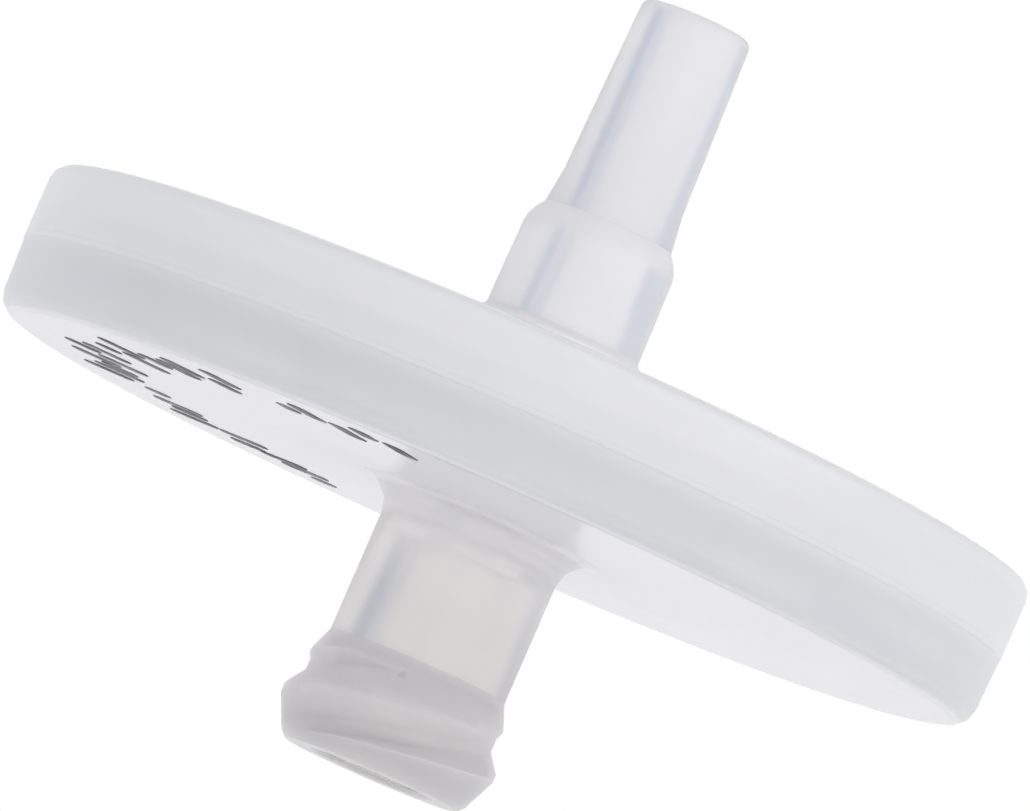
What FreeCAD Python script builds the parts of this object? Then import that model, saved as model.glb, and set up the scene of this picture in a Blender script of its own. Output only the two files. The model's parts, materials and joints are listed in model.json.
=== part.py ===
import FreeCAD, Part
import math
import os

from FreeCAD import Vector

# Disposable syringe filter: two moulded polypropylene halves welded around a clamped membrane.
# The filter stands on the mouth of its inlet, with its axis on Z and the outlet cone on top.
# Lengths are millimetres and angles are degrees, counted anticlockwise from +X.

# Disc, the wide middle of the filter
disc_dia = 36.5
inlet_rim_inset = 0.03
inlet_rim_draft = 2.0
inlet_half_height = 2.65
outlet_half_height = 2.7
inlet_edge_round = 0.75
outlet_edge_round = 0.55
weld_edge_break = 0.12
plate_wall = 1.5

# Inlet hub: a barrel with a female luer lock at its mouth
hub_length = 9.55
barrel_inset = 0.23
barrel_root_fillet = 1.15
socket_mouth_dia = 4.3
socket_depth = 8.0
socket_mouth_break = 0.15
inlet_orifice_dia = 2.2

# Lock thread: two right-hand ridges on a collar round the mouth
thread_starts = 2
thread_lead = 5.0
thread_crest_dia = 7.9
thread_depth = 0.47
thread_crest_width = 0.3
thread_upper_flank = 0.65
thread_lower_flank = 1.0
thread_start_angle = 60.0
thread_lead_in = 1.4
thread_run_out_start = 1.75
thread_edge_round = 0.12
collar_run_out_rise = 0.06
collar_run_out_height = 3.3
collar_height = 4.05
mouth_dia = 6.4
mouth_break = 0.22

# Gate mark: the shallow dimple that the moulding gate left on the collar
gate_angle = 264.0
gate_height = 3.5
gate_depth = 0.06
gate_ball_dia = 0.7

# Outlet: a boss on a wider foot, carrying a male luer cone
boss_foot_dia = 6.2
boss_foot_height = 1.6
boss_foot_slope_height = 0.25
boss_foot_round = 0.15
boss_dia = 5.64
boss_top_dia = 5.54
boss_height = 5.0
boss_root_fillet = 0.2
shoulder_height = 0.6
shoulder_round = 1.1
luer_root_dia = 4.72
luer_root_length = 1.3
luer_land_length = 6.5
luer_tip_dia = 4.0
luer_tip_round = 0.3
outlet_bore_dia = 2.4
outlet_bore_length = 8.0
outlet_bore_root_dia = 2.8

# Both luer cones widen by this share of their length
luer_taper = 0.06

# Weld ring: the band between the chamber and the rim, with a tongue in a groove
weld_ring_width = 3.35
tongue_inset = 1.5
tongue_width = 0.7
tongue_height = 0.9
tongue_draft = 0.08
groove_clearance = 0.05

# Membrane, clamped by its edge between the two halves
membrane_thickness = 0.15
membrane_clamp_width = 0.55
membrane_edge_gap = 0.1

# Ribs that hold the membrane clear of both plates
inlet_rib_count = 12
inlet_rib_height = 0.7
inlet_rib_width = 0.7
inlet_rib_inner_dia = 6.0
support_rib_count = 32
support_rib_width = 0.6
support_rib_long_inner_dia = 4.4
support_rib_middle_inner_dia = 9.0
support_rib_short_inner_dia = 17.0
rib_end_gap = 0.7

# Overlap by which a rib or ridge is rooted in the wall that it grows from
root_overlap = 0.25

# A round is turned as flats, and each flat turns the outline by at most this angle
round_step_angle = 30.0

# Diameters that follow from the sizes above
inlet_rim_dia = disc_dia - 2 * inlet_rim_inset
tongue_dia = disc_dia - 2 * tongue_inset
chamber_dia = disc_dia - 2 * weld_ring_width
membrane_dia = chamber_dia + 2 * membrane_clamp_width
thread_root_dia = thread_crest_dia - 2 * thread_depth
collar_run_out_dia = thread_root_dia + 2 * collar_run_out_rise
barrel_dia = thread_root_dia - 2 * barrel_inset
luer_land_dia = luer_tip_dia + luer_land_length * luer_taper

# Heights that follow from the sizes above
weld_z = hub_length + inlet_half_height
chamber_floor_z = hub_length + plate_wall
outlet_face_z = weld_z + outlet_half_height
chamber_roof_z = outlet_face_z - plate_wall
membrane_z = weld_z - membrane_thickness
foot_top_z = outlet_face_z + boss_foot_height
shoulder_z = outlet_face_z + boss_height
luer_root_z = shoulder_z + shoulder_height
land_z = luer_root_z + luer_root_length
tip_z = land_z + luer_land_length


def round_corner(before, corner, after, radius):
    """Points of a tangent arc that rounds one corner of an outline."""
    back = before - corner
    ahead = after - corner
    half_angle = back.getAngle(ahead) / 2
    reach = radius / math.tan(half_angle)
    reach = min(reach, 0.49 * back.Length, 0.49 * ahead.Length)
    radius = reach * math.tan(half_angle)
    start = corner + back.normalize() * reach
    inward = (back + ahead.normalize()).normalize()
    centre = corner + inward * (radius / math.sin(half_angle))
    turn = 180 - 2 * math.degrees(half_angle)
    side = back.cross(ahead).normalize()
    flats = math.ceil(turn / round_step_angle)
    points = []
    for i in range(flats + 1):
        swing = FreeCAD.Rotation(side, -turn * i / flats)
        points.append(centre + swing.multVec(start - centre))
    return points


def turned(corners):
    """Solid of revolution about Z from an outline of (radius, height, corner round)."""
    points = [Vector(radius, 0, height) for radius, height, corner_round in corners]
    outline = []
    for i, corner in enumerate(points):
        if corners[i][2] > 0:
            after = points[(i + 1) % len(points)]
            outline += round_corner(points[i - 1], corner, after, corners[i][2])
        else:
            outline.append(corner)
    face = Part.Face(Part.makePolygon(outline + outline[:1]))
    return face.revolve(Vector(0, 0, 0), Vector(0, 0, 1), 360)


def spoke(inner_dia, outer_dia, width, low, high, angle):
    """Straight rib that runs outwards from the axis at an angle."""
    length = (outer_dia - inner_dia) / 2
    corner = Vector(inner_dia / 2, -width / 2, low)
    bar = Part.makeBox(length, width, high - low, corner)
    bar.rotate(Vector(0, 0, 0), Vector(0, 0, 1), angle)
    return bar


def thread_ridge(start_angle):
    """One helical ridge, long enough to be trimmed at the mouth and above the collar.

    The upper edge of its crest leaves the mouth plane at the start angle.
    """
    crest = thread_crest_dia / 2
    inner = thread_root_dia / 2 - root_overlap
    grow = (crest - inner) / thread_depth
    section = Part.makePolygon([
        Vector(inner, 0, thread_upper_flank * grow),
        Vector(crest, 0, 0),
        Vector(crest, 0, -thread_crest_width),
        Vector(inner, 0, -thread_crest_width - thread_lower_flank * grow),
        Vector(inner, 0, thread_upper_flank * grow),
    ])
    below = thread_lead / 4
    above = collar_height + thread_lower_flank + thread_crest_width + thread_lead / 4
    path = Part.makeHelix(thread_lead, below + above, thread_root_dia / 2)
    ridge = path.makePipeShell([section], True, True)
    ridge.translate(Vector(0, 0, -below))
    ridge.rotate(Vector(0, 0, 0), Vector(0, 0, 1), start_angle - 360 * below / thread_lead)
    return ridge


def lock_thread():
    """Collar with its ridges, trimmed by the lead-in at the mouth and the run-out above.

    The collar is turned so that its seam lies where the first ridge begins, a quarter turn
    before the start angle.
    """
    crest = thread_crest_dia / 2
    mouth = mouth_dia / 2
    collar = Part.makeCylinder(thread_root_dia / 2, collar_height)
    collar.rotate(Vector(0, 0, 0), Vector(0, 0, 1), thread_start_angle - 90)
    ridges = [
        thread_ridge(thread_start_angle + 360 * i / thread_starts) for i in range(thread_starts)
    ]
    slope = (collar_run_out_dia - barrel_dia) / 2 / (collar_height - collar_run_out_height)
    envelope = turned([
        (0, 0, 0),
        (mouth, 0, 0),
        (mouth + mouth_break, mouth_break, 0),
        (crest, thread_lead_in, thread_edge_round),
        (crest, thread_run_out_start, thread_edge_round),
        (collar_run_out_dia / 2, collar_run_out_height, 0),
        (barrel_dia / 2 - slope * root_overlap, collar_height + root_overlap, 0),
        (0, collar_height + root_overlap, 0),
    ])
    return collar.multiFuse(ridges).common(envelope)


def inlet_passage():
    """Space through the hub: the female luer socket and the orifice to the chamber."""
    orifice = inlet_orifice_dia / 2
    mouth = socket_mouth_dia / 2
    end = mouth - socket_depth * luer_taper / 2
    return turned([
        (0, -root_overlap, 0),
        (mouth + socket_mouth_break + root_overlap, -root_overlap, 0),
        (mouth, socket_mouth_break, 0),
        (end, socket_depth, 0),
        (orifice, socket_depth, 0),
        (orifice, chamber_floor_z + root_overlap, 0),
        (0, chamber_floor_z + root_overlap, 0),
    ])


def gate_mark():
    """Ball that cuts the gate's dimple into the collar."""
    angle = math.radians(gate_angle)
    out = Vector(math.cos(angle), math.sin(angle), 0)
    centre = out * (thread_root_dia / 2 + gate_ball_dia / 2 - gate_depth)
    centre.z = gate_height
    return Part.makeSphere(gate_ball_dia / 2, centre)


def inlet_housing():
    """Lower half: luer lock hub, plate with distribution ribs, clamp ring and weld tongue."""
    rim = inlet_rim_dia / 2
    foot = rim - inlet_half_height * math.tan(math.radians(inlet_rim_draft))
    tongue_out = (tongue_dia + tongue_width) / 2
    tongue_in = (tongue_dia - tongue_width) / 2
    tongue_top = weld_z + tongue_height
    recess = membrane_dia / 2 + membrane_edge_gap
    body = turned([
        (0, collar_height / 2, 0),
        (barrel_dia / 2, collar_height / 2, 0),
        (barrel_dia / 2, hub_length, barrel_root_fillet),
        (foot, hub_length, inlet_edge_round),
        (rim, weld_z - weld_edge_break, 0),
        (rim - weld_edge_break, weld_z, 0),
        (tongue_out, weld_z, 0),
        (tongue_out - tongue_draft, tongue_top, 0),
        (tongue_in + tongue_draft, tongue_top, 0),
        (tongue_in, weld_z, 0),
        (recess, weld_z, 0),
        (recess, membrane_z, 0),
        (chamber_dia / 2, membrane_z, 0),
        (chamber_dia / 2, chamber_floor_z, 0),
        (0, chamber_floor_z, 0),
    ])
    ribs = [
        spoke(
            inlet_rib_inner_dia,
            chamber_dia - 2 * rib_end_gap,
            inlet_rib_width,
            chamber_floor_z - root_overlap,
            chamber_floor_z + inlet_rib_height,
            360 * i / inlet_rib_count,
        )
        for i in range(inlet_rib_count)
    ]
    housing = body.multiFuse([lock_thread()] + ribs)
    return housing.cut([inlet_passage(), gate_mark()])


def support_ribs():
    """Ribs under the roof that carry the membrane and drain to the outlet."""
    inner_dias = [
        support_rib_long_inner_dia,
        support_rib_short_inner_dia,
        support_rib_middle_inner_dia,
        support_rib_short_inner_dia,
    ]
    return [
        spoke(
            inner_dias[i % len(inner_dias)],
            chamber_dia - 2 * rib_end_gap,
            support_rib_width,
            weld_z,
            chamber_roof_z + root_overlap,
            360 * i / support_rib_count,
        )
        for i in range(support_rib_count)
    ]


def outlet_passage():
    """Space through the outlet: a straight bore in the cone that widens towards the chamber."""
    bore = outlet_bore_dia / 2
    root = outlet_bore_root_dia / 2
    return turned([
        (0, chamber_roof_z - root_overlap, 0),
        (root, chamber_roof_z - root_overlap, 0),
        (root, chamber_roof_z, 0),
        (bore, tip_z - outlet_bore_length, 0),
        (bore, tip_z + root_overlap, 0),
        (0, tip_z + root_overlap, 0),
    ])


def outlet_housing():
    """Upper half: plate with support ribs, weld groove, boss and male luer cone."""
    groove_out = (tongue_dia + tongue_width) / 2 + groove_clearance
    groove_in = (tongue_dia - tongue_width) / 2 - groove_clearance
    groove_top = weld_z + tongue_height + groove_clearance
    body = turned([
        (0, chamber_roof_z, 0),
        (chamber_dia / 2, chamber_roof_z, 0),
        (chamber_dia / 2, weld_z, 0),
        (groove_in, weld_z, 0),
        (groove_in + tongue_draft, groove_top, 0),
        (groove_out - tongue_draft, groove_top, 0),
        (groove_out, weld_z, 0),
        (disc_dia / 2 - weld_edge_break, weld_z, 0),
        (disc_dia / 2, weld_z + weld_edge_break, 0),
        (disc_dia / 2, outlet_face_z, outlet_edge_round),
        (boss_foot_dia / 2, outlet_face_z, boss_root_fillet),
        (boss_foot_dia / 2, foot_top_z - boss_foot_slope_height, boss_foot_round),
        (boss_dia / 2, foot_top_z, boss_foot_round),
        (boss_top_dia / 2, shoulder_z, shoulder_round),
        (luer_root_dia / 2, luer_root_z, 0),
        (luer_land_dia / 2, land_z, 0),
        (luer_tip_dia / 2, tip_z, luer_tip_round),
        (0, tip_z, 0),
    ])
    return body.multiFuse(support_ribs()).cut(outlet_passage())


def membrane():
    """Thin round filter sheet, clamped round its edge between the two halves."""
    return Part.makeCylinder(membrane_dia / 2, membrane_thickness, Vector(0, 0, membrane_z))


os.makedirs("parts", exist_ok=True)
inlet_housing().exportStep("parts/inlet_housing.step")
outlet_housing().exportStep("parts/outlet_housing.step")
membrane().exportStep("parts/membrane.step")
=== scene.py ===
import bpy
import json
import math
from mathutils import Matrix, Quaternion, Vector


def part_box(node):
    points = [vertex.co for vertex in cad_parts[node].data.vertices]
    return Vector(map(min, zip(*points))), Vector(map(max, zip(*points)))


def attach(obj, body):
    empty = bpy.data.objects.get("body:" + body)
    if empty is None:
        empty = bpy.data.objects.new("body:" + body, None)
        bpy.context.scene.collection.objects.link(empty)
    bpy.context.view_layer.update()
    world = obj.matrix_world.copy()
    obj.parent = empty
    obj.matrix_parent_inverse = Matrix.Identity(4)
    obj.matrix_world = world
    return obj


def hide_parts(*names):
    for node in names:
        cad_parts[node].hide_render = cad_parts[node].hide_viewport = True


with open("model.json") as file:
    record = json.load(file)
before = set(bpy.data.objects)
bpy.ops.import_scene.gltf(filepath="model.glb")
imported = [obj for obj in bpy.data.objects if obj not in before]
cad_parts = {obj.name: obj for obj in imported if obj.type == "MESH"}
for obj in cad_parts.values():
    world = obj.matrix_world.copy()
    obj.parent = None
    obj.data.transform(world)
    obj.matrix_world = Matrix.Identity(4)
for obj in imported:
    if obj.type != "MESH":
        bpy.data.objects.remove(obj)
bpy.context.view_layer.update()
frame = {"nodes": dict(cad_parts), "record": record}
mounts = {mount["name"]: mount for mount in frame["record"]["mounts"]}
mm = 0.001


# Camera: it looks level along +Y at the side of the filter, from a little below the disc.
# It is rolled, so that the outlet leans to the upper right, and it stands well back, so
# that the disc is seen with hardly any perspective.
view_target = Vector((-0.5, 0, 13.6)) * mm
view_elevation = math.radians(-4.6)
view_roll = math.radians(23.5)
view_distance = 560 * mm
view_width = 35.33 * mm
sensor_width = 36
nearest_seen = 0.01
farthest_seen = 5

towards_camera = Vector((0, -math.cos(view_elevation), math.sin(view_elevation)))
level_view = (-towards_camera).to_track_quat("-Z", "Y")
camera_data = bpy.data.cameras.new("side_camera")
camera_data.sensor_width = sensor_width
camera_data.lens = sensor_width * view_distance / view_width
camera_data.clip_start = nearest_seen
camera_data.clip_end = farthest_seen
camera = bpy.data.objects.new("side_camera", camera_data)
bpy.context.scene.collection.objects.link(camera)
camera.location = view_target + towards_camera * view_distance
camera.rotation_mode = "QUATERNION"
camera.rotation_quaternion = level_view @ Quaternion((0, 0, 1), view_roll)
bpy.context.scene.camera = camera


# Inlet housing: the lower half of the disc with the hub and its lock thread, moulded in
# one piece of unpigmented polypropylene. Light goes deep into its cloudy wall, and the
# polished core pins left the socket, the orifice and the chamber clear.
round_angle = math.radians(40)
merge_reach = 0.0005 * mm
ring_reach = 0.01 * mm
ring_limit = 5 * mm


def radius_of(point):
    """How far a point lies from the axis."""
    return math.hypot(point.x, point.y)


def skin_of(node, name, crisp_ring_z):
    """A closed skin in the form of a CAD node, with its turned flats shaded round.

    The inner ring at the given height, where a fillet or a cone starts, stays crisp.
    """
    bpy.ops.object.select_all(action="DESELECT")
    skin = bpy.data.objects.new(name, frame["nodes"][node].data.copy())
    skin.data.name = name
    skin.data.materials.clear()
    bpy.context.scene.collection.objects.link(skin)
    skin.select_set(True)
    bpy.context.view_layer.objects.active = skin
    bpy.ops.mesh.customdata_custom_splitnormals_clear()
    bpy.ops.object.mode_set(mode="EDIT")
    bpy.ops.mesh.select_all(action="SELECT")
    bpy.ops.mesh.remove_doubles(threshold=merge_reach)
    bpy.ops.object.mode_set(mode="OBJECT")
    bpy.ops.object.shade_smooth_by_angle(angle=round_angle)
    points = skin.data.vertices
    for edge in skin.data.edges:
        ends = [points[i].co for i in edge.vertices]
        level = all(abs(end.z - crisp_ring_z) < ring_reach for end in ends)
        if level and all(radius_of(end) < ring_limit for end in ends):
            edge.use_edge_sharp = True
    even = skin.modifiers.new("even_normals", "WEIGHTED_NORMAL")
    even.keep_sharp = True
    bpy.ops.object.modifier_apply(modifier=even.name)
    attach(skin, "root")
    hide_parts(node)
    return skin


plastic_ior = 1.49
cloud_scale = 160
cloud_detail = 3
least_gloss_share = 0.8
gloss_share_range = 0.4
grain_scale = 6000
grain_detail = 2
grain_height = 0.01 * mm
satin_grain = 0.1
polished_grain = 0.02
core_roughness = 0.1


def moulded_surface_group():
    """Node group: faint clouds in the plastic, and the fine satin grain of the mould."""
    group = bpy.data.node_groups.new("moulded_surface", "ShaderNodeTree")
    face = group.interface
    face.new_socket("Tint", in_out="INPUT", socket_type="NodeSocketColor")
    face.new_socket("Cloud Tint", in_out="INPUT", socket_type="NodeSocketColor")
    face.new_socket("Roughness", in_out="INPUT", socket_type="NodeSocketFloat")
    face.new_socket("Grain Depth", in_out="INPUT", socket_type="NodeSocketFloat")
    face.new_socket("Colour", in_out="OUTPUT", socket_type="NodeSocketColor")
    face.new_socket("Roughness", in_out="OUTPUT", socket_type="NodeSocketFloat")
    face.new_socket("Normal", in_out="OUTPUT", socket_type="NodeSocketVector")
    nodes, links = group.nodes, group.links
    given = nodes.new("NodeGroupInput")
    made = nodes.new("NodeGroupOutput")
    place = nodes.new("ShaderNodeTexCoord")

    clouds = nodes.new("ShaderNodeTexNoise")
    clouds.inputs["Scale"].default_value = cloud_scale
    clouds.inputs["Detail"].default_value = cloud_detail
    links.new(place.outputs["Object"], clouds.inputs["Vector"])
    blend = nodes.new("ShaderNodeMix")
    blend.data_type = "RGBA"
    links.new(clouds.outputs["Fac"], blend.inputs["Factor"])
    links.new(given.outputs["Tint"], blend.inputs["A"])
    links.new(given.outputs["Cloud Tint"], blend.inputs["B"])
    links.new(blend.outputs["Result"], made.inputs["Colour"])

    spread = nodes.new("ShaderNodeMath")
    spread.operation = "MULTIPLY_ADD"
    spread.inputs[1].default_value = gloss_share_range
    spread.inputs[2].default_value = least_gloss_share
    links.new(clouds.outputs["Fac"], spread.inputs[0])
    gloss = nodes.new("ShaderNodeMath")
    gloss.operation = "MULTIPLY"
    links.new(spread.outputs["Value"], gloss.inputs[0])
    links.new(given.outputs["Roughness"], gloss.inputs[1])
    links.new(gloss.outputs["Value"], made.inputs["Roughness"])

    grain = nodes.new("ShaderNodeTexNoise")
    grain.inputs["Scale"].default_value = grain_scale
    grain.inputs["Detail"].default_value = grain_detail
    links.new(place.outputs["Object"], grain.inputs["Vector"])
    bump = nodes.new("ShaderNodeBump")
    bump.inputs["Distance"].default_value = grain_height
    links.new(given.outputs["Grain Depth"], bump.inputs["Strength"])
    links.new(grain.outputs["Fac"], bump.inputs["Height"])
    links.new(bump.outputs["Normal"], made.inputs["Normal"])
    return group


surface_group = moulded_surface_group()


def add_surface(material, tint, cloud_tint, roughness, grain_depth):
    """Adds the group to a material, with its own tints and gloss."""
    surface = material.node_tree.nodes.new("ShaderNodeGroup")
    surface.node_tree = surface_group
    surface.inputs["Tint"].default_value = (*tint, 1)
    surface.inputs["Cloud Tint"].default_value = (*cloud_tint, 1)
    surface.inputs["Roughness"].default_value = roughness
    surface.inputs["Grain Depth"].default_value = grain_depth
    return surface


def cloudy_plastic(name, tint, cloud_tint, clearness, roughness, glow_depth, core_clearness=1):
    """Outer skin: part clear and part milky from outside, and clear from inside the wall.

    A core clearness below 1 makes the inside of the wall milky too, in the same tint.
    """
    core_tint = (1, 1, 1) if core_clearness == 1 else tint
    material = bpy.data.materials.new(name)
    material.use_nodes = True
    nodes, links = material.node_tree.nodes, material.node_tree.links
    nodes.clear()
    output = nodes.new("ShaderNodeOutputMaterial")
    surface = add_surface(material, tint, cloud_tint, roughness, satin_grain)
    skin = nodes.new("ShaderNodeBsdfPrincipled")
    skin.inputs["IOR"].default_value = plastic_ior
    skin.inputs["Transmission Weight"].default_value = clearness
    skin.inputs["Subsurface Weight"].default_value = 1
    skin.inputs["Subsurface Radius"].default_value = (1, 1, 1)
    skin.inputs["Subsurface Scale"].default_value = glow_depth
    links.new(surface.outputs["Colour"], skin.inputs["Base Color"])
    links.new(surface.outputs["Roughness"], skin.inputs["Roughness"])
    links.new(surface.outputs["Normal"], skin.inputs["Normal"])
    inside = nodes.new("ShaderNodeBsdfPrincipled")
    inside.inputs["Base Color"].default_value = (*core_tint, 1)
    inside.inputs["IOR"].default_value = plastic_ior
    inside.inputs["Roughness"].default_value = core_roughness
    inside.inputs["Transmission Weight"].default_value = core_clearness
    side = nodes.new("ShaderNodeNewGeometry")
    mix = nodes.new("ShaderNodeMixShader")
    links.new(side.outputs["Backfacing"], mix.inputs["Fac"])
    links.new(skin.outputs["BSDF"], mix.inputs[1])
    links.new(inside.outputs["BSDF"], mix.inputs[2])
    links.new(mix.outputs["Shader"], output.inputs["Surface"])
    return material


def polished_plastic(name, tint, cloud_tint, roughness):
    """Faces that the polished core pins left clear."""
    material = bpy.data.materials.new(name)
    material.use_nodes = True
    links = material.node_tree.links
    surface = add_surface(material, tint, cloud_tint, roughness, polished_grain)
    skin = material.node_tree.nodes["Principled BSDF"]
    skin.inputs["IOR"].default_value = plastic_ior
    skin.inputs["Transmission Weight"].default_value = 1
    links.new(surface.outputs["Colour"], skin.inputs["Base Color"])
    links.new(surface.outputs["Roughness"], skin.inputs["Roughness"])
    links.new(surface.outputs["Normal"], skin.inputs["Normal"])
    return material


def fade_along_axis(material, tint, start_z, end_z):
    """Turns a finish to a second tint between two heights: painted light or shade along the
    axis.
    """
    nodes, links = material.node_tree.nodes, material.node_tree.links
    surface = next(node for node in nodes if node.type == "GROUP")
    place = nodes.new("ShaderNodeTexCoord")
    height = nodes.new("ShaderNodeSeparateXYZ")
    links.new(place.outputs["Object"], height.inputs["Vector"])
    share = nodes.new("ShaderNodeMapRange")
    share.interpolation_type = "SMOOTHSTEP"
    share.inputs["From Min"].default_value = start_z
    share.inputs["From Max"].default_value = end_z
    links.new(height.outputs["Z"], share.inputs["Value"])
    for socket in ("Tint", "Cloud Tint"):
        blend = nodes.new("ShaderNodeMix")
        blend.data_type = "RGBA"
        blend.inputs["A"].default_value = surface.inputs[socket].default_value
        blend.inputs["B"].default_value = (*tint, 1)
        links.new(share.outputs["Result"], blend.inputs["Factor"])
        links.new(blend.outputs["Result"], surface.inputs[socket])
    return material


def give_finish(skin, material, belongs):
    """Gives a finish to the faces whose middles belong to a region."""
    skin.data.materials.append(material)
    slot = len(skin.data.materials) - 1
    for face in skin.data.polygons:
        if belongs(face.center):
            face.material_index = slot


socket_radius = mounts["inlet_luer_lock"]["dims"]["r_mm"] * mm
disc_radius = mounts["disc_rim"]["dims"]["r_mm"] * mm
inlet_face_z = mounts["inlet_face"]["pos_m"][2]
seam_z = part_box("outlet_housing")[0][2]
collar_height = 4.05 * mm
root_fillet = 1.15 * mm
barrel_top_z = inlet_face_z - root_fillet
root_radius = 3.9 * mm
wall = 1 * mm
face_margin = 0.1 * mm
# Spans over which the finishes below are painted lighter or darker, as painted light and shade
# along the axis.
seam_fade = 0.8 * mm
root_fade = 0.7 * mm
barrel_fade = 3 * mm
mouth_fade_from = 0.6 * mm
mouth_fade_to = 2 * mm
thin_wall_glow = 0.12 * mm

clear_plastic = polished_plastic(
    "polished_polypropylene",
    tint=(0.97, 0.97, 0.98),
    cloud_tint=(0.93, 0.94, 0.95),
    roughness=0.12,
)
inlet = skin_of("inlet_housing", "inlet_half", inlet_face_z)
# Painted shade: the lower disc wall is tinted darker than the upper disc, for the shade that
# falls on the lower half. It is painted lighter again just below the seam, where it meets the
# lighter upper disc.
give_finish(
    inlet,
    fade_along_axis(
        cloudy_plastic(
            "cloudy_lower_disc",
            tint=(0.80, 0.80, 0.82),
            cloud_tint=(0.77, 0.77, 0.79),
            clearness=0.12,
            roughness=0.34,
            glow_depth=thin_wall_glow,
        ),
        tint=(0.85, 0.85, 0.865),
        start_z=seam_z - seam_fade,
        end_z=seam_z,
    ),
    lambda point: True,
)
# Painted shade: the underside is tinted darker than the upper disc too, as part of the same
# painted shade on the lower half.
give_finish(
    inlet,
    cloudy_plastic(
        "cloudy_underside",
        tint=(0.83, 0.82, 0.85),
        cloud_tint=(0.80, 0.79, 0.82),
        clearness=0.12,
        roughness=0.24,
        glow_depth=thin_wall_glow,
    ),
    lambda point: point.z < inlet_face_z + face_margin,
)
# Painted light: the root fillet is tinted lightest where it meets the barrel and darker
# towards the underside, to lift the shade that the disc casts on the hub.
give_finish(
    inlet,
    fade_along_axis(
        cloudy_plastic(
            "cloudy_root",
            tint=(0.94, 0.90, 0.90),
            cloud_tint=(0.91, 0.875, 0.875),
            clearness=0.2,
            roughness=0.34,
            glow_depth=0.4 * mm,
        ),
        tint=(0.865, 0.84, 0.865),
        start_z=barrel_top_z,
        end_z=barrel_top_z + root_fade,
    ),
    lambda point: point.z < inlet_face_z + face_margin and radius_of(point) < root_radius,
)
# Painted light and shade: the barrel is tinted darker towards the collar and lighter up
# towards the root under the disc.
give_finish(
    inlet,
    fade_along_axis(
        cloudy_plastic(
            "cloudy_barrel",
            tint=(0.81, 0.77, 0.755),
            cloud_tint=(0.79, 0.75, 0.735),
            clearness=0.35,
            roughness=0.34,
            glow_depth=0.8 * mm,
        ),
        tint=(0.93, 0.885, 0.865),
        start_z=barrel_top_z - barrel_fade,
        end_z=barrel_top_z,
    ),
    lambda point: point.z < barrel_top_z,
)
# Painted shade: the thread collar is tinted much darker than the rest of the hub, for the
# shade at the hub's lower end, and darker still towards the mouth, where its flanks face down.
give_finish(
    inlet,
    fade_along_axis(
        cloudy_plastic(
            "cloudy_collar",
            tint=(0.66, 0.64, 0.64),
            cloud_tint=(0.63, 0.61, 0.61),
            clearness=0.12,
            roughness=0.34,
            glow_depth=0.6 * mm,
            core_clearness=0.65,
        ),
        tint=(0.74, 0.715, 0.715),
        start_z=mouth_fade_from,
        end_z=mouth_fade_to,
    ),
    lambda point: point.z < collar_height,
)
give_finish(inlet, clear_plastic, lambda point: radius_of(point) < socket_radius)
give_finish(
    inlet,
    clear_plastic,
    lambda point: point.z > inlet_face_z + wall and radius_of(point) < disc_radius - wall,
)


# Print on the underside: a ring of dark pad-printed ink round the left of the inlet face.
# Plain slanted strokes, ticks and dots stand in for the lettering, and each is a thin film
# of ink that lies on the plastic.
ink_thickness = 0.02 * mm
ink_width = 0.8 * mm
ink_long = 1.9 * mm
ink_short = 1.4 * mm
ink_dot = 1.0 * mm
ink_end_share = 0.45
ink_end_steps = 3
ink_ring_radius = 14.1 * mm
ink_bearing_from = math.radians(62)
ink_bearing_to = math.radians(-30)
ink_from = math.radians(256)
ink_to = math.radians(112)
ink_marks = 32
ink_shifts = [0, 0.8 * mm, -0.7 * mm, 0.4 * mm, -0.3 * mm]
ink_patch_scale = 900
ink_patch_detail = 4
fresh_ink = (0.035, 0.033, 0.036, 1)
worn_ink = (0.22, 0.21, 0.23, 1)
fresh_until = 0.42
worn_from = 0.68


def ink_stroke(name, length):
    """A flat stroke of ink with round ends, which lies at the origin along X."""
    bpy.ops.object.select_all(action="DESELECT")
    bpy.ops.mesh.primitive_cube_add(size=1, scale=(length, ink_width, ink_thickness))
    stroke = bpy.context.active_object
    stroke.name = name
    bpy.ops.object.transform_apply(location=False, rotation=False, scale=True)
    bpy.ops.object.mode_set(mode="EDIT")
    bpy.ops.mesh.select_all(action="DESELECT")
    bpy.ops.mesh.select_mode(type="EDGE")
    bpy.ops.object.mode_set(mode="OBJECT")
    points = stroke.data.vertices
    for edge in stroke.data.edges:
        low, high = (points[i].co.z for i in edge.vertices)
        edge.select = abs(high - low) > ink_thickness / 2
    bpy.ops.object.mode_set(mode="EDIT")
    bpy.ops.mesh.bevel(offset=ink_width * ink_end_share, segments=ink_end_steps)
    bpy.ops.object.mode_set(mode="OBJECT")
    return stroke


def printed_ink():
    """Worn ink: near black, and thinner in patches."""
    material = bpy.data.materials.new("printed_ink")
    material.use_nodes = True
    nodes, links = material.node_tree.nodes, material.node_tree.links
    place = nodes.new("ShaderNodeTexCoord")
    patches = nodes.new("ShaderNodeTexNoise")
    patches.inputs["Scale"].default_value = ink_patch_scale
    patches.inputs["Detail"].default_value = ink_patch_detail
    links.new(place.outputs["Object"], patches.inputs["Vector"])
    ramp = nodes.new("ShaderNodeValToRGB")
    ramp.color_ramp.elements[0].position = fresh_until
    ramp.color_ramp.elements[0].color = fresh_ink
    ramp.color_ramp.elements[1].position = worn_from
    ramp.color_ramp.elements[1].color = worn_ink
    links.new(patches.outputs["Fac"], ramp.inputs["Fac"])
    ink = nodes["Principled BSDF"]
    ink.inputs["Roughness"].default_value = 0.55
    links.new(ramp.outputs["Color"], ink.inputs["Base Color"])
    return material


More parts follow.
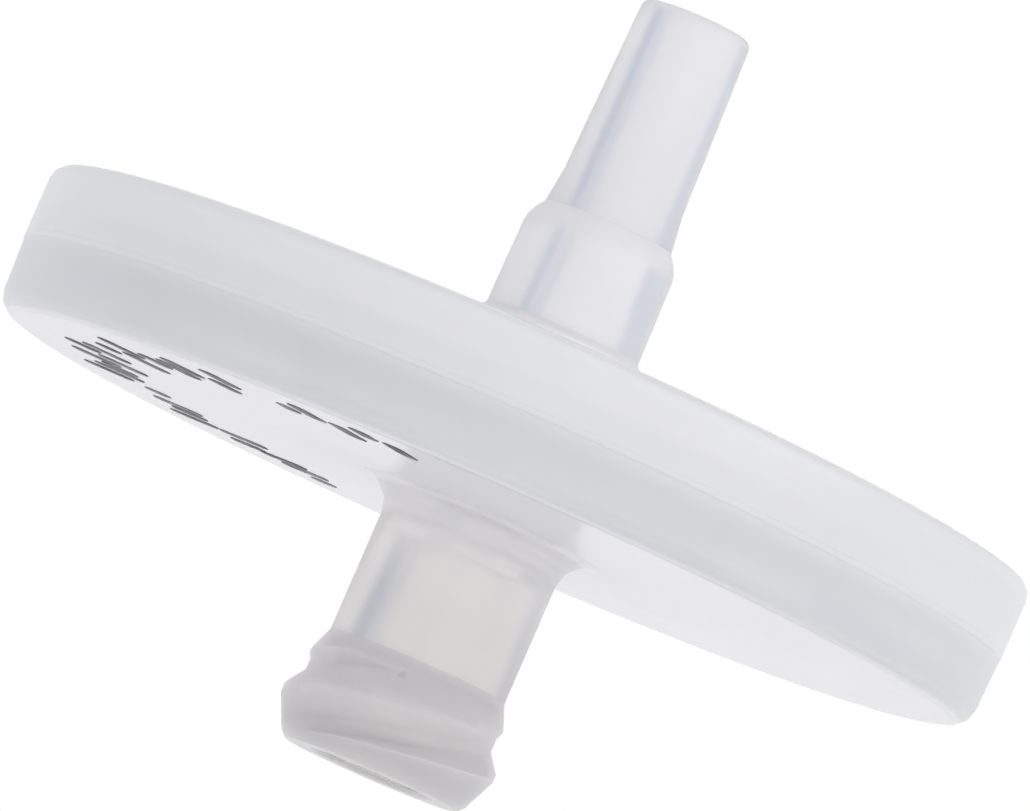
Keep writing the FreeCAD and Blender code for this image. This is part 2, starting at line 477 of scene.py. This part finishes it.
long_stroke = ink_stroke("long_stroke", ink_long)
short_stroke = ink_stroke("short_stroke", ink_short)
dot = ink_stroke("dot", ink_dot)
word = [long_stroke, short_stroke, long_stroke, long_stroke, dot, None]
pattern = word + word[:3]
marks = []
for i in range(ink_marks):
    model = pattern[i % len(pattern)]
    if model is None:
        continue
    share = i / (ink_marks - 1)
    angle = ink_from + (ink_to - ink_from) * share
    bearing = ink_bearing_from + (ink_bearing_to - ink_bearing_from) * share
    mark = model.copy()
    mark.data = model.data.copy()
    bpy.context.scene.collection.objects.link(mark)
    radius = ink_ring_radius + ink_shifts[i % len(ink_shifts)]
    height = inlet_face_z - ink_thickness / 2
    place = Vector((radius * math.cos(angle), radius * math.sin(angle), height))
    mark.matrix_world = Matrix.Translation(place) @ Matrix.Rotation(bearing, 4, "Z")
    marks.append(mark)
for model in (long_stroke, short_stroke, dot):
    bpy.data.objects.remove(model)
bpy.ops.object.select_all(action="DESELECT")
for mark in marks:
    mark.select_set(True)
bpy.context.view_layer.objects.active = marks[0]
bpy.ops.object.join()
print_ring = bpy.context.active_object
print_ring.name = "print_ring"
bpy.ops.object.transform_apply(location=True, rotation=True, scale=True)
print_ring.data.materials.append(printed_ink())
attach(print_ring, "root")


# Membrane: a thin sheet of white porous polymer. It is clamped by its edge between the
# two halves, and shows through them only as a pale layer.
pore_scale = 9000
pore_depth = 0.01 * mm
pore_strength = 0.4
pore_tint = (0.80, 0.80, 0.78, 1)
sheet_tint = (0.93, 0.93, 0.91, 1)
pore_until = 0.35
sheet_from = 0.6
sheet_roughness = 0.9


def porous_sheet():
    """White polymer with fine pores all over it."""
    material = bpy.data.materials.new("porous_membrane")
    material.use_nodes = True
    nodes, links = material.node_tree.nodes, material.node_tree.links
    place = nodes.new("ShaderNodeTexCoord")
    pores = nodes.new("ShaderNodeTexNoise")
    pores.inputs["Scale"].default_value = pore_scale
    links.new(place.outputs["Object"], pores.inputs["Vector"])
    ramp = nodes.new("ShaderNodeValToRGB")
    ramp.color_ramp.elements[0].position = pore_until
    ramp.color_ramp.elements[0].color = pore_tint
    ramp.color_ramp.elements[1].position = sheet_from
    ramp.color_ramp.elements[1].color = sheet_tint
    links.new(pores.outputs["Fac"], ramp.inputs["Fac"])
    bump = nodes.new("ShaderNodeBump")
    bump.inputs["Strength"].default_value = pore_strength
    bump.inputs["Distance"].default_value = pore_depth
    links.new(pores.outputs["Fac"], bump.inputs["Height"])
    sheet = nodes["Principled BSDF"]
    sheet.inputs["Roughness"].default_value = sheet_roughness
    links.new(ramp.outputs["Color"], sheet.inputs["Base Color"])
    links.new(bump.outputs["Normal"], sheet.inputs["Normal"])
    return material


membrane = frame["nodes"]["membrane"]
membrane.data.materials.clear()
membrane.data.materials.append(porous_sheet())


# Outlet housing: the upper half of the disc with the boss and the male luer cone. It is
# moulded from the same plastic, and welded to the inlet half all round the rim.
outlet_face_z = mounts["outlet_face"]["pos_m"][2]
bore_radius = mounts["outlet_bore"]["dims"]["r_mm"] * mm
outlet_boss_height = 5.6 * mm
luer_foot_z = outlet_face_z + outlet_boss_height
tip_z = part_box("outlet_housing")[1][2]
boss_margin = 0.2 * mm
tip_margin = 0.01 * mm
bore_flare = 1.25
passage_radius = bore_radius * bore_flare

outlet = skin_of("outlet_housing", "outlet_half", luer_foot_z)
give_finish(
    outlet,
    cloudy_plastic(
        "cloudy_upper_disc",
        tint=(0.905, 0.90, 0.92),
        cloud_tint=(0.885, 0.88, 0.90),
        clearness=0.12,
        roughness=0.34,
        glow_depth=thin_wall_glow,
    ),
    lambda point: True,
)
give_finish(
    outlet,
    cloudy_plastic(
        "cloudy_boss",
        tint=(0.96, 0.91, 0.98),
        cloud_tint=(0.94, 0.89, 0.96),
        clearness=0.27,
        roughness=0.34,
        glow_depth=0.6 * mm,
    ),
    lambda point: point.z > outlet_face_z + boss_margin,
)
give_finish(
    outlet,
    cloudy_plastic(
        "cloudy_cone",
        tint=(0.88, 0.865, 0.895),
        cloud_tint=(0.85, 0.835, 0.865),
        clearness=0.33,
        roughness=0.34,
        glow_depth=0.6 * mm,
    ),
    lambda point: point.z > luer_foot_z,
)
give_finish(
    outlet,
    clear_plastic,
    lambda point: radius_of(point) < passage_radius and point.z < tip_z - tip_margin,
)
give_finish(
    outlet,
    clear_plastic,
    lambda point: point.z < outlet_face_z - wall and radius_of(point) < disc_radius - wall,
)


# Weld bead: the plastic that melted and filled the notch round the rim when the two halves
# were welded. It is a thin smooth ring of the same cloudy plastic, made from a flat oval
# that is spun round the axis.
bead_depth = 0.12 * mm
bead_height = 0.36 * mm
bead_sink = 0.002 * mm
bead_lift = 0.03 * mm
bead_points = 16
bead_steps = 256
bead_merge_reach = 0.001 * mm

bpy.ops.object.select_all(action="DESELECT")
bpy.ops.mesh.primitive_circle_add(
    vertices=bead_points,
    radius=0.5,
    rotation=(math.radians(90), 0, 0),
    location=(disc_radius - bead_sink - bead_depth / 2, 0, seam_z + bead_lift),
)
bead = bpy.context.active_object
bead.name = "weld_bead"
bead.scale = (bead_depth, bead_height, 1)
bpy.ops.object.transform_apply(location=True, rotation=True, scale=True)
bpy.ops.object.mode_set(mode="EDIT")
bpy.ops.mesh.select_all(action="SELECT")
bpy.ops.mesh.spin(steps=bead_steps, angle=2 * math.pi, center=(0, 0, 0), axis=(0, 0, 1))
bpy.ops.mesh.select_all(action="SELECT")
bpy.ops.mesh.remove_doubles(threshold=bead_merge_reach)
bpy.ops.mesh.normals_make_consistent(inside=False)
bpy.ops.object.mode_set(mode="OBJECT")
bpy.ops.object.shade_smooth()
# Its tint lies between the lower disc's tint at the seam and the upper disc's, so that the
# painted shade of the lower half runs on across the seam.
bead.data.materials.append(
    cloudy_plastic(
        "cloudy_weld",
        tint=(0.88, 0.88, 0.895),
        cloud_tint=(0.86, 0.86, 0.875),
        clearness=0.12,
        roughness=0.34,
        glow_depth=thin_wall_glow,
    )
)
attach(bead, "root")


# Floor: a plain pale sheet under the filter. Only the camera and the clear plastic see it,
# and only from above. It fades into the white round it, and lets all other light through,
# so that the mouth that stands on it isn't dark.
floor_size = 0.7
floor_drop = 0.02 * mm
floor_fade_from = 0.12
floor_fade_to = 0.3


def pale_floor():
    """Matt white paper, which turns to nothing towards its edge."""
    material = bpy.data.materials.new("pale_floor")
    material.use_nodes = True
    nodes, links = material.node_tree.nodes, material.node_tree.links
    nodes.clear()
    output = nodes.new("ShaderNodeOutputMaterial")
    place = nodes.new("ShaderNodeTexCoord")
    reach = nodes.new("ShaderNodeVectorMath")
    reach.operation = "LENGTH"
    links.new(place.outputs["Object"], reach.inputs[0])
    fade = nodes.new("ShaderNodeMapRange")
    fade.interpolation_type = "SMOOTHSTEP"
    fade.inputs["From Min"].default_value = floor_fade_from
    fade.inputs["From Max"].default_value = floor_fade_to
    fade.inputs["To Min"].default_value = 1
    fade.inputs["To Max"].default_value = 0
    links.new(reach.outputs["Value"], fade.inputs["Value"])
    path = nodes.new("ShaderNodeLightPath")
    seen_by = nodes.new("ShaderNodeMath")
    seen_by.operation = "MAXIMUM"
    links.new(path.outputs["Is Camera Ray"], seen_by.inputs[0])
    links.new(path.outputs["Is Transmission Ray"], seen_by.inputs[1])
    side = nodes.new("ShaderNodeNewGeometry")
    from_above = nodes.new("ShaderNodeMath")
    from_above.operation = "SUBTRACT"
    from_above.use_clamp = True
    links.new(seen_by.outputs["Value"], from_above.inputs[0])
    links.new(side.outputs["Backfacing"], from_above.inputs[1])
    shown = nodes.new("ShaderNodeMath")
    shown.operation = "MULTIPLY"
    links.new(fade.outputs["Result"], shown.inputs[0])
    links.new(from_above.outputs["Value"], shown.inputs[1])
    paper = nodes.new("ShaderNodeBsdfDiffuse")
    paper.inputs["Color"].default_value = (0.92, 0.92, 0.92, 1)
    nothing = nodes.new("ShaderNodeBsdfTransparent")
    mix = nodes.new("ShaderNodeMixShader")
    links.new(shown.outputs["Value"], mix.inputs["Fac"])
    links.new(nothing.outputs["BSDF"], mix.inputs[1])
    links.new(paper.outputs["BSDF"], mix.inputs[2])
    links.new(mix.outputs["Shader"], output.inputs["Surface"])
    return material


bpy.ops.object.select_all(action="DESELECT")
bpy.ops.mesh.primitive_plane_add(size=floor_size, location=(0, 0, -floor_drop))
floor = bpy.context.active_object
floor.name = "floor"
floor.data.materials.append(pale_floor())


# Studio: white surroundings, which gloss and clear plastic show too, a soft light from all
# round that is stronger from below, where a white table throws it back, and one wide soft
# lamp in front on the right.
ambient_tone = (0.97, 0.98, 1, 1)
ambient_from_below = 0.99
ambient_from_above = 0.58
lamp_power = 2.0
lamp_size = 1.2
lamp_place = Vector((0.35, -0.5, 0.5))

world = bpy.data.worlds.new("white_studio")
bpy.context.scene.world = world
world.use_nodes = True
nodes, links = world.node_tree.nodes, world.node_tree.links
nodes.clear()
output = nodes.new("ShaderNodeOutputWorld")
backdrop = nodes.new("ShaderNodeBackground")
backdrop.inputs["Color"].default_value = (1, 1, 1, 1)
backdrop.inputs["Strength"].default_value = 1
ambient = nodes.new("ShaderNodeBackground")
ambient.inputs["Color"].default_value = ambient_tone
direction = nodes.new("ShaderNodeTexCoord")
height = nodes.new("ShaderNodeSeparateXYZ")
links.new(direction.outputs["Generated"], height.inputs["Vector"])
level = nodes.new("ShaderNodeMapRange")
level.inputs["From Min"].default_value = -1
level.inputs["From Max"].default_value = 1
level.inputs["To Min"].default_value = ambient_from_below
level.inputs["To Max"].default_value = ambient_from_above
links.new(height.outputs["Z"], level.inputs["Value"])
links.new(level.outputs["Result"], ambient.inputs["Strength"])
path = nodes.new("ShaderNodeLightPath")
camera_or_gloss = nodes.new("ShaderNodeMath")
camera_or_gloss.operation = "MAXIMUM"
links.new(path.outputs["Is Camera Ray"], camera_or_gloss.inputs[0])
links.new(path.outputs["Is Glossy Ray"], camera_or_gloss.inputs[1])
shows_white = nodes.new("ShaderNodeMath")
shows_white.operation = "MAXIMUM"
links.new(camera_or_gloss.outputs["Value"], shows_white.inputs[0])
links.new(path.outputs["Is Transmission Ray"], shows_white.inputs[1])
mix = nodes.new("ShaderNodeMixShader")
links.new(shows_white.outputs["Value"], mix.inputs["Fac"])
links.new(ambient.outputs["Background"], mix.inputs[1])
links.new(backdrop.outputs["Background"], mix.inputs[2])
links.new(mix.outputs["Shader"], output.inputs["Surface"])

lamp_data = bpy.data.lights.new("top_lamp", "AREA")
lamp_data.shape = "DISK"
lamp_data.size = lamp_size
lamp_data.energy = lamp_power
lamp = bpy.data.objects.new("top_lamp", lamp_data)
bpy.context.scene.collection.objects.link(lamp)
lamp.location = lamp_place
lamp.rotation_mode = "QUATERNION"
lamp.rotation_quaternion = (view_target - lamp_place).to_track_quat("-Z", "Y")


# Blue card: it stands behind the filter on the left. The camera doesn't see it directly,
# only the light that bends through the clear walls or runs along inside them.
card_bearing = math.radians(46)
card_distance = 0.3
card_width = 0.23
card_height = 0.25
card_drop = 0.05
card_tone = (0.15, 0.34, 0.57, 1)

bpy.ops.object.select_all(action="DESELECT")
bpy.ops.mesh.primitive_plane_add(
    size=1,
    rotation=(math.radians(90), 0, card_bearing),
    location=(
        -card_distance * math.sin(card_bearing),
        card_distance * math.cos(card_bearing),
        card_height / 2 - card_drop,
    ),
)
card = bpy.context.active_object
card.name = "blue_card"
card.scale = (card_width, card_height, 1)
material = bpy.data.materials.new("blue_card")
material.use_nodes = True
nodes, links = material.node_tree.nodes, material.node_tree.links
nodes.clear()
output = nodes.new("ShaderNodeOutputMaterial")
tone = nodes.new("ShaderNodeEmission")
tone.inputs["Color"].default_value = card_tone
links.new(tone.outputs["Emission"], output.inputs["Surface"])
card.data.materials.append(material)
card.visible_camera = False
card.visible_diffuse = False
card.visible_glossy = False
card.visible_shadow = False


bpy.context.scene.view_settings.view_transform = "Standard"
